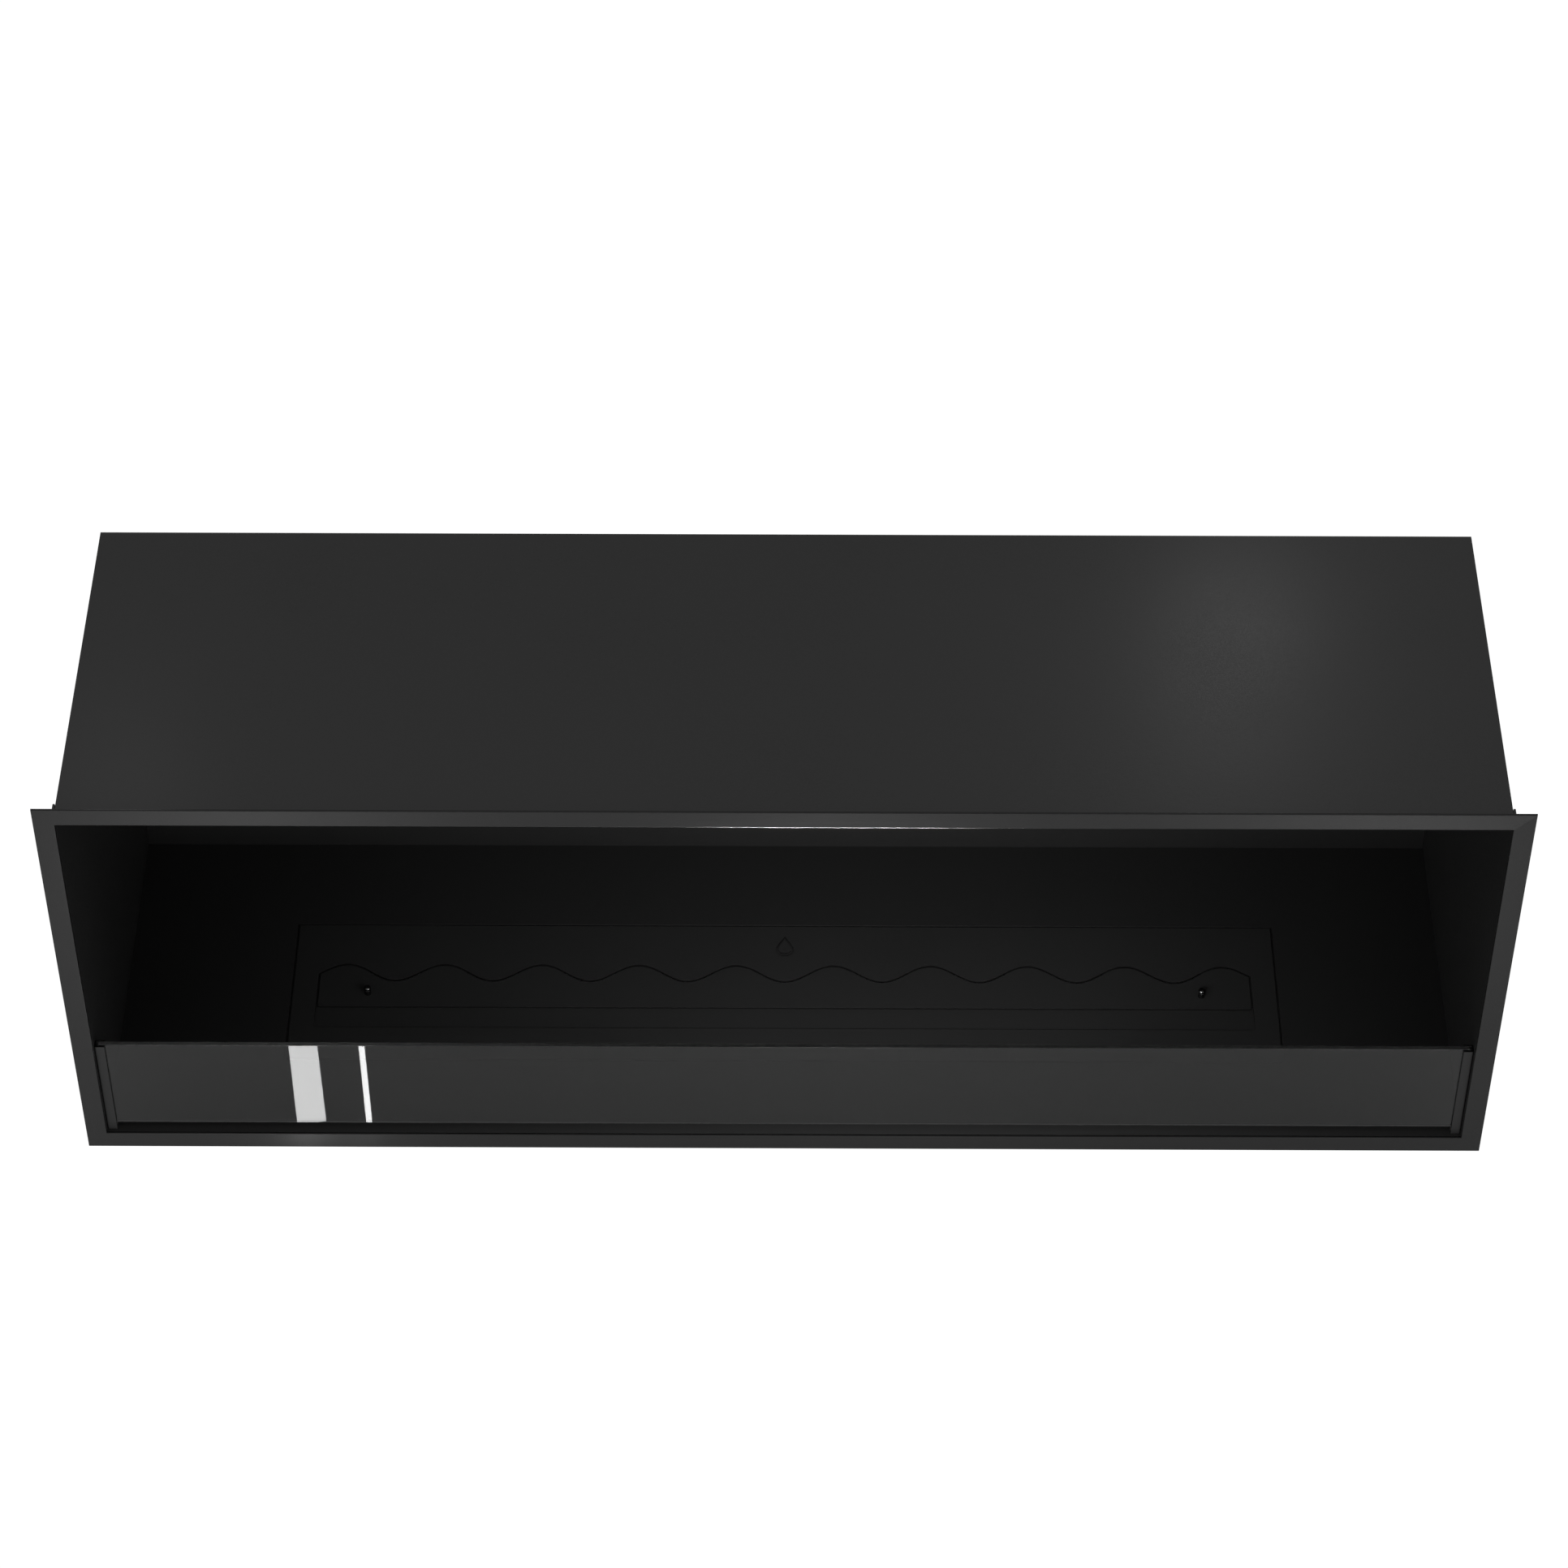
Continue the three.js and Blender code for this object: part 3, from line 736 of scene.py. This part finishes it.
def slide_bed():
    x0, x1, y0, y1, z0, z1 = extent("slide_bed")
    half_width, front, back, corner, hole = 405, -10, 24, 3, 2.3
    slot = rectangle(-half_width, half_width, DECK_Y + front, DECK_Y + back, corner)
    holes = [circle(x, y, hole) for x, y in stud_places()]
    add_piece("bed_plate", plate([rectangle(x0, x1, y0, y1, corner), slot, *holes], z0, z1), "slide_bed")


def nut(node, hole):
    """A hexagon nut, 7 mm across its flats, with turned chamfers above and below."""
    x0, x1, y0, y1, z0, z1 = extent(node)
    x, y, flat = (x0 + x1) / 2, (y0 + y1) / 2, 3.5
    steps, lead, cut, face = 48, 0.35, 0.45, 0.95

    def loop(radius, z, hexagon=False):
        ring = []
        for k in range(steps):
            a = 2 * math.pi * k / steps
            off = (a + math.pi / 6) % (math.pi / 3) - math.pi / 6
            reach = radius / math.cos(math.pi / 6 - abs(off)) if hexagon else radius
            ring.append((x + reach * math.cos(a), y + reach * math.sin(a), z))
        return ring

    skin = Skin()
    skin.tube([
        loop(hole, z0 + lead), loop(hole + lead, z0), loop(flat * face, z0), loop(flat, z0 + cut, True),
        loop(flat, z1 - cut, True), loop(flat * face, z1), loop(hole + lead, z1), loop(hole, z1 - lead),
    ], closed=True)
    return skin.mesh()


def nuts():
    hole = STUD_RADIUS + 0.05
    for stud in STUDS:
        node = "deck_nut_" + stud
        add_piece("stud_nut_" + stud, nut(node, hole), node, smooth_angle=25)


def fuel_tank():
    corner, fold = 6, 4
    add_piece("tank_tray", tray(TANK, corner, fold), *TANK)
    add_piece("tank_flange", tray_rim("tank_rim", TANK, corner), "tank_rim")
    for which in ("left", "middle", "right"):
        node = "fibre_pad_" + which
        add_piece("wool_pad_" + which, wool_pad(*extent(node)), node, smooth_angle=180)
    x0, x1, y0, y1, z0, z1 = extent("fibre_screen")
    slots, half_width, half_length, slot_corner, sheet_corner = 27, 6, 30, 5.5, 4
    outlines = [rectangle(x0, x1, y0, y1, sheet_corner)]
    for k in range(slots):
        x = x0 + (x1 - x0) * (k + 0.5) / slots
        reach = (x - half_width, x + half_width, DECK_Y - half_length, DECK_Y + half_length)
        outlines.append(rectangle(*reach, slot_corner))
    add_piece("slotted_screen", plate(outlines, z0, z1, edge=0.2), "fibre_screen")


def wool_pad(x0, x1, y0, y1, z0, z1):
    """A cut block of loose fibre: soft edges, hollows and tufts that stay inside the block's box."""
    stations, spacing, soft, roughness, slack, tuft = 90, 3, 5, 1.6, 0.3, 0.11
    section = rounded([(y0, z0, soft), (y1, z0, soft), (y1, z1, soft), (y0, z1, soft)], steps=6)
    dense = []
    for i, (y, z) in enumerate(section):
        next_y, next_z = section[(i + 1) % len(section)]
        pieces = max(1, round(math.dist((y, z), (next_y, next_z)) / spacing))
        dense += [(y + (next_y - y) * k / pieces, z + (next_z - z) * k / pieces) for k in range(pieces)]
    middle_y, middle_z = (y0 + y1) / 2, (z0 + z1) / 2
    rings = []
    for k in range(stations + 1):
        x = x0 + (x1 - x0) * k / stations
        edge = min(x - x0, x1 - x)
        pull = soft - math.sqrt(max(0, soft ** 2 - max(0, soft - edge) ** 2)) + slack
        ring = []
        for y, z in dense:
            hollow = 0.5 + 0.5 * noise.fractal(Vector((x, y, z)) * tuft, 1, 2, 4)
            dent = pull + roughness * hollow
            out = Vector((y - middle_y, z - middle_z))
            shrink = [max(0, 1 - dent / (y1 - middle_y)), max(0, 1 - dent / (z1 - middle_z))]
            ring.append((x, middle_y + out.x * shrink[0], middle_z + out.y * shrink[1]))
        rings.append(ring)
    skin = Skin()
    skin.tube(rings)
    return skin.mesh()


# ---- Sliding lid ----
def sliding_lid():
    _, half_width, front_edge, _, z0, z1 = lid
    corner, hole = 1.5, 1.8
    pegs = {}
    for side in ("left", "right"):
        left, right, front, back, bottom, top = extent("grip_peg_" + side)
        pegs[side] = ((left + right) / 2, (front + back) / 2, bottom, top)
    holes = [circle(x, y, hole) for x, y, _, _ in pegs.values()]
    outline = wavy_outline(half_width, front_edge, gap=0, corner=corner)
    add_piece("wavy_lid", plate([outline, *holes], z0, z1), "lid_plate")
    for side, (x, y, bottom, top) in pegs.items():
        mesh = lathe(peg_profile(bottom, z1, top), (x, y, 0), segments=64)
        add_piece("peg_" + side, mesh, "grip_peg_" + side, smooth_angle=30)


def peg_profile(bottom, foot, top):
    """A turned peg with a thin shank, a shallow groove near its top, a chamfer and a centre mark."""
    shank, radius, chamfer, lead, groove = 1.7, 3, 0.8, 0.25, 0.12
    return [
        (0, bottom), (shank, bottom), (shank, foot), (radius - lead, foot), (radius, foot + lead),
        (radius, top - 3.4), (radius - groove, top - 3.3), (radius - groove, top - 3.0),
        (radius, top - 2.9), (radius, top - chamfer), (radius - 0.1, top - chamfer + 0.12),
        (radius - chamfer + 0.1, top - 0.08), (radius - chamfer, top), (0.8, top), (0, top - lead),
    ]


casing()
front_frame()
glass_screen()
burner_well()
burner_deck()
slide_bed()
nuts()
fuel_tank()
sliding_lid()


# ---- Floor and light ----
WHITE = 1.05  # a little over 1, so the background is full white


def white_to_the_camera(tree, lit, end):
    """The camera sees plain white, and everything else sees the surface as it is lit."""
    in_world = end.node.type == "OUTPUT_WORLD"
    path = tree.nodes.new("ShaderNodeLightPath")
    white = tree.nodes.new("ShaderNodeBackground" if in_world else "ShaderNodeEmission")
    white.inputs["Color"].default_value = (1, 1, 1, 1)
    white.inputs["Strength"].default_value = WHITE
    mix = tree.nodes.new("ShaderNodeMixShader")
    tree.links.new(path.outputs["Is Camera Ray"], mix.inputs[0])
    tree.links.new(lit, mix.inputs[1])
    tree.links.new(white.outputs[0], mix.inputs[2])
    tree.links.new(mix.outputs[0], end)


def see_through_from_below(tree, end):
    """Lets a camera under the floor see the underside of the object."""
    mix = tree.nodes.new("ShaderNodeMixShader")
    tree.links.new(tree.nodes.new("ShaderNodeNewGeometry").outputs["Backfacing"], mix.inputs[0])
    tree.links.new(end.links[0].from_socket, mix.inputs[1])
    tree.links.new(tree.nodes.new("ShaderNodeBsdfTransparent").outputs[0], mix.inputs[2])
    tree.links.new(mix.outputs[0], end)


def add_floor():
    half, height = 8, -0.0005
    corners = [(x, y, height) for x, y in rectangle(-half, half, -half, half)]
    mesh = bpy.data.meshes.new("studio_floor")
    mesh.from_pydata(corners, [], [(0, 1, 2, 3)])
    floor = bpy.data.objects.new("studio_floor", mesh)
    scene.collection.objects.link(floor)
    material = bpy.data.materials.new("studio_floor")
    material.use_nodes = True
    tree = material.node_tree
    shader = tree.nodes["Principled BSDF"]
    shader.inputs["Base Color"].default_value = (*grey(0.92), 1)
    shader.inputs["Roughness"].default_value = 0.9
    shader.inputs["Specular IOR Level"].default_value = 0.1
    output = tree.nodes["Material Output"].inputs["Surface"]
    white_to_the_camera(tree, shader.outputs[0], output)
    see_through_from_below(tree, output)
    mesh.materials.append(material)


def add_world(strength):
    world = bpy.data.worlds.new("studio")
    world.use_nodes = True
    scene.world = world
    tree = world.node_tree
    background = tree.nodes["Background"]
    background.inputs["Color"].default_value = (1, 1, 1, 1)
    background.inputs["Strength"].default_value = strength
    white_to_the_camera(tree, background.outputs[0], tree.nodes["World Output"].inputs["Surface"])


def add_lamp(name, place, aim, size, radiance, spread=180):
    """A soft rectangular lamp, in metres, of an even radiance. spread is its cone in degrees."""
    data = bpy.data.lights.new(name, "AREA")
    data.shape = "RECTANGLE"
    data.size, data.size_y = size
    data.energy = radiance * math.pi * size[0] * size[1]
    data.spread = math.radians(spread)
    lamp = bpy.data.objects.new(name, data)
    lamp.location = place
    if aim is not None:
        lamp.rotation_euler = (Vector(aim) - Vector(place)).to_track_quat("-Z", "Y").to_euler()
    lamp.visible_camera = False
    scene.collection.objects.link(lamp)
    return lamp


def limit(lamp, state, *names):
    """With INCLUDE the lamp lights only these pieces, and with EXCLUDE all but these."""
    group = bpy.data.collections.new("lit_by_" + lamp.name)
    lamp.light_linking.receiver_collection = group
    for name in names:
        group.objects.link(bpy.data.objects[name])
    for each in group.collection_objects:
        each.light_linking.link_state = state


def stripe_lamps():
    """Two strips on the floor that stand as upright stripes in the glass: each keeps to one x on the pane,
    so it fans out a little from the camera."""
    eye = scene.camera.location
    pane_y = extent("glass_pane")[2] * MM
    near, far, height = 0.054, 0.17, 0.004
    stripes = (("wide_stripe", -0.430, -0.404, 5.5), ("narrow_stripe", -0.3688, -0.3635, 8.6))
    for name, x0, x1, radiance in stripes:
        middle = (x0 + x1) / 2
        ends = []
        for reach in (near, far):
            stretch = 1 + reach / (pane_y - eye.y)
            ends.append(Vector((eye.x + (middle - eye.x) * stretch, pane_y - reach, height)))
        along = ends[1] - ends[0]
        lamp = add_lamp(name, (ends[0] + ends[1]) / 2, None, (x1 - x0, along.length), radiance)
        lamp.rotation_euler = (math.pi, 0, math.atan2(along.y, along.x) - math.pi / 2)


add_floor()
add_world(0.36)
stripe_lamps()
# name, place, aim, size and radiance
add_lamp("top_softbox", (0, 0.2, 2.6), (0, 0.1, 0.4), (3.0, 2.4), 0.44)
pool = add_lamp("fire_pool", (0.08, -0.45, 0.43), (0.08, 0.175, -0.05), (0.5, 0.08), 5.3, spread=100)
limit(pool, "EXCLUDE", "studio_floor", "pane", *("frame_bar_" + where for where in FRAME_SIDES))
rail_edge = add_lamp("rail_edge", (0.046, -0.10, 0.07), (0.046, -0.177, 0.455), (0.20, 0.12), 110.0)
limit(rail_edge, "INCLUDE", "frame_bar_top")
add_lamp("rail_centre", (0.042, -0.62, 0.06), (0.036, -0.177, 0.465), (0.16, 0.08), 8.0)
add_lamp("rail_left", (-0.523, -0.62, 0.03), (-0.442, -0.177, 0.465), (0.25, 0.12), 5.3)
add_lamp("rail_right", (0.572, -0.62, 0.03), (0.488, -0.177, 0.464), (0.25, 0.12), 3.2)
add_lamp("top_glow_right", (0.421, 0.32, 0.748), (0.3805, 0.0568, 0.459), (0.08, 0.08), 7.4)
add_lamp("top_glow_left", (-0.602, 0.10, 0.706), (-0.549, -0.113, 0.459), (0.08, 0.08), 1.6)

scene.view_settings.view_transform = "Standard"
scene.view_settings.look = "None"
